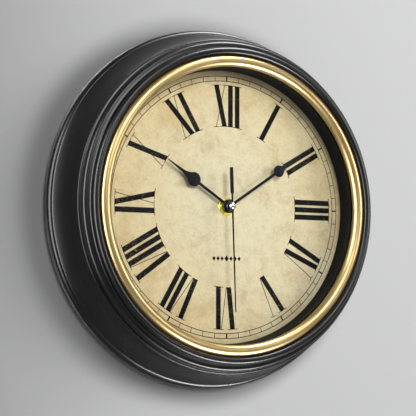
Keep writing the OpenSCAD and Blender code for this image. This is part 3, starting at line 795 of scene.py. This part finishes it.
dome = {"radius": 3.4, "height": 2.0, "stem": 1.4, "flange": 2.2, "foot": 2.6}
domeReach = sqrt(dome["radius"] ** 2 - (dome["radius"] - dome["height"]) ** 2)
swing = degrees(asin(domeReach / dome["radius"]))
domeOutline = [(0.0, -dome["foot"]), (dome["stem"] - 0.1, -dome["foot"])]
domeOutline += [(dome["stem"], -dome["foot"] + 0.1), (dome["stem"], -0.8)]
domeOutline += [(dome["flange"] - 0.1, -0.8), (dome["flange"], -0.7), (dome["flange"], -0.4)]
domeOutline += [(dome["stem"], -0.4), (dome["stem"], 0.0), (domeReach - 0.15, 0.0)]
domeOutline += arcPoints((0, dome["height"] - dome["radius"]), dome["radius"],
                         90 - swing + 1, 90, 14)
domeOutline = [(r, secondTop + d) for r, d in domeOutline]
makePiece("centreDome", turnedPart("centreDome", domeOutline, 64), paints["dome_steel"],
          "seconds", "second_hand_bush")
print("hands: done")


nut = {"corner": 7.0, "hole": 4.05, "low": 26.6, "high": 28.6}
nutMesh = cutPlate(
    "hexNut", [ringPoints((0, 0), nut["corner"], 6), ringPoints((0, 0), nut["hole"])],
    nut["low"], nut["high"], 0.3)
makePiece("hexNut", nutMesh, paints["nut_brass"], "clock", "hex_nut", 25)

washer = {"radius": 7.6, "hole": 4.1, "low": 26.0, "high": 26.6}
washerOutline = [
    (washer["hole"], washer["low"]), (washer["radius"] - 0.1, washer["low"]),
    (washer["radius"], washer["low"] + 0.1), (washer["radius"], washer["high"] - 0.15),
    (washer["radius"] - 0.15, washer["high"]), (washer["hole"], washer["high"])]
makePiece("brassWasher", turnedPart("brassWasher", washerOutline, 96), paints["nut_brass"],
          "clock", "brass_washer")
print("nut and washer: done")


bodyOf = {node: body for body, group in frame["record"]["behaviour"]["bodies"].items()
          for node in group}


def refinedCopy(node, name, width):
    # the part's own shape with its flat faces joined and its edges rounded
    source = frame["nodes"][node]
    bm = bmesh.new()
    bm.from_mesh(source.data)
    bmesh.ops.transform(bm, matrix=source.matrix_world, verts=bm.verts)
    bmesh.ops.remove_doubles(bm, verts=bm.verts, dist=1e-6)
    bmesh.ops.dissolve_limit(bm, angle_limit=radians(1), verts=bm.verts, edges=bm.edges)
    roundEdges(bm, width)
    makePiece(name, meshFrom(bm, name), paints[slots[node]], bodyOf[node], node)


refined = {  # node: name and how far its edges are rounded
    "hanger_plate": ("hangerPlate", 0.2), "battery": ("cell", 0.35),
    "plate_screws": ("plateScrews", 0.12), "hanger_screws": ("hangerScrews", 0.1),
    "rear_housing": ("rearHousing", 0.25), "front_housing": ("frontHousing", 0.25),
    "setting_knob": ("settingKnob", 0.15)}
for node, (name, width) in refined.items():
    refinedCopy(node, name, width)
print("parts seen from the back: done")


stageSet = {
    "wallY": 0.0006, "width": 6.0, "floorZ": -1.4, "tone": 0.62,
    # a painted soft shadow in a ring round the clock
    "shadeAt": (-0.011, 0.0, -0.003), "shadeFrom": 0.149, "shadeTo": 0.174, "shade": 0.48,
    # painted shade: the wall and floor darken towards the left
    "leftShadeFrom": 0.0, "leftShadeTo": -0.3, "leftShade": 0.38}


def stagePaint():
    # pale wall with a painted soft shadow round the clock and painted shade towards the left; it
    # shows only its front, so that the clock's back can be seen past it
    paint = Paint("stagePaint")
    place = paint.place()
    offset = paint.add(
        "ShaderNodeVectorMath", {"operation": "SUBTRACT"}, [place, stageSet["shadeAt"]])
    # painted shadow: the wall is darker within a ring round the clock
    past = paint.span(paint.length(offset), stageSet["shadeFrom"], stageSet["shadeTo"])
    # painted shade: darker towards the left
    leftShade = paint.span(paint.across(place), stageSet["leftShadeFrom"], stageSet["leftShadeTo"])
    tone = paint.noise(place, 1.5, 2.0) * 0.02 + stageSet["tone"]
    tone = tone * (1.0 - (1.0 - past) * stageSet["shade"]) * (1.0 - leftShade * stageSet["leftShade"])
    grey = paint.add("ShaderNodeCombineColor", {}, [tone, tone, tone])
    matt = paint.add("ShaderNodeBsdfPrincipled", {}, {
        "Base Color": grey, "Roughness": 1.0, "Specular IOR Level": 0.0})
    clear = paint.add("ShaderNodeBsdfTransparent", {}, {})
    back = paint.add("ShaderNodeNewGeometry", {}, {}, "Backfacing")
    paint.close(paint.add("ShaderNodeMixShader", {}, [back, matt, clear]))
    return paint.material


def stageSheet(name, centre, turn, paint):
    bm = bmesh.new()
    made = bmesh.ops.create_grid(bm, x_segments=1, y_segments=1, size=stageSet["width"] / 2)
    bmesh.ops.rotate(bm, verts=made["verts"], cent=(0, 0, 0), matrix=turn)
    bmesh.ops.translate(bm, verts=made["verts"], vec=centre)
    mesh = bpy.data.meshes.new(name)
    bm.to_mesh(mesh)
    bm.free()
    mesh.materials.append(paint)
    sheet = bpy.data.objects.new(name, mesh)
    scene.collection.objects.link(sheet)
    return sheet


palePaint = stagePaint()
wall = stageSheet("stageWall", (0, stageSet["wallY"], 0),
                  Matrix.Rotation(pi / 2, 3, "X"), palePaint)
wall.visible_shadow = False  # light from behind still reaches the clock's back
# the floor has the same paint, with its painted shade towards the left
stageSheet("stageFloor", (0, -stageSet["width"] / 2, stageSet["floorZ"]),
           Matrix.Identity(3), palePaint)

lamps = {  # name: place, width, height, power, and whether it lights or only glints
    "frontLamp": ((0.1, -1.75, 0.8), 0.7, 0.7, 21.5, True),
    "sideLamp": ((1.6, -1.15, 0.3), 0.8, 0.8, 20.0, True),
    "ringGlint": ((-0.75, -1.3, 0.75), 0.5, 0.5, 1.0, False),
    "leftGlint": ((-1.2, -0.5, 0.1), 0.7, 1.6, 48.0, False),
    "topGlint": ((0.45, -0.22, 1.0), 0.9, 0.3, 26.0, False),
    "lowGlint": ((0.4, -0.65, -0.95), 0.7, 0.14, 30.0, False),
    "backLamp": ((0.2, 1.7, 0.9), 0.9, 0.9, 60.0, True),
    "backFill": ((-0.15, 1.9, -0.2), 0.9, 0.9, 25.0, True)}
for name, (place, width, height, power, lights) in lamps.items():
    lamp = bpy.data.lights.new(name, "AREA")
    lamp.shape = "RECTANGLE"
    lamp.size = width
    lamp.size_y = height
    lamp.energy = power
    holder = bpy.data.objects.new(name, lamp)
    holder.location = place
    holder.rotation_euler = (-Vector(place)).to_track_quat("-Z", "Y").to_euler()
    holder.visible_diffuse = lights
    scene.collection.objects.link(holder)

# the room gives little light of its own, and is pale only where it is seen directly
roomSet = {"seen": 0.4, "light": 0.1}
world = bpy.data.worlds.new("studio")
world.use_nodes = True
room = world.node_tree.nodes["Background"]
seen = world.node_tree.nodes.new("ShaderNodeLightPath")
level = world.node_tree.nodes.new("ShaderNodeMath")
level.operation = "MULTIPLY_ADD"
level.inputs[1].default_value = roomSet["seen"]
level.inputs[2].default_value = roomSet["light"]
world.node_tree.links.new(seen.outputs["Is Camera Ray"], level.inputs[0])
world.node_tree.links.new(level.outputs[0], room.inputs["Strength"])
room.inputs["Color"].default_value = rgb(0.93, 0.95, 1.0)
scene.world = world

# the camera stands to the left of the clock and a little below it
cameraSet = {
    "aim": (0.0, -0.026, 0.0), "azimuth": -28.437, "elevation": -4.342, "roll": 0.113,
    "distance": 1.0517, "right": -0.01562, "up": -0.00121, "lens": 108.57}
turn, rise = radians(cameraSet["azimuth"]), radians(cameraSet["elevation"])
back = Vector((sin(turn) * cos(rise), -cos(turn) * cos(rise), sin(rise)))
side = (-back).cross(Vector((0, 0, 1))).normalized()
top = side.cross(-back)
lean = radians(cameraSet["roll"])
side, top = cos(lean) * side + sin(lean) * top, cos(lean) * top - sin(lean) * side
camera = bpy.data.objects.new("camera", bpy.data.cameras.new("camera"))
camera.data.sensor_width = 36.0
camera.data.lens = cameraSet["lens"]
camera.data.clip_start = 0.01
spot = Vector(cameraSet["aim"]) + back * cameraSet["distance"]
spot += side * cameraSet["right"] + top * cameraSet["up"]
camera.matrix_world = Matrix.Translation(spot) @ Matrix((side, top, back)).transposed().to_4x4()
scene.collection.objects.link(camera)
scene.camera = camera
print("stage: done")
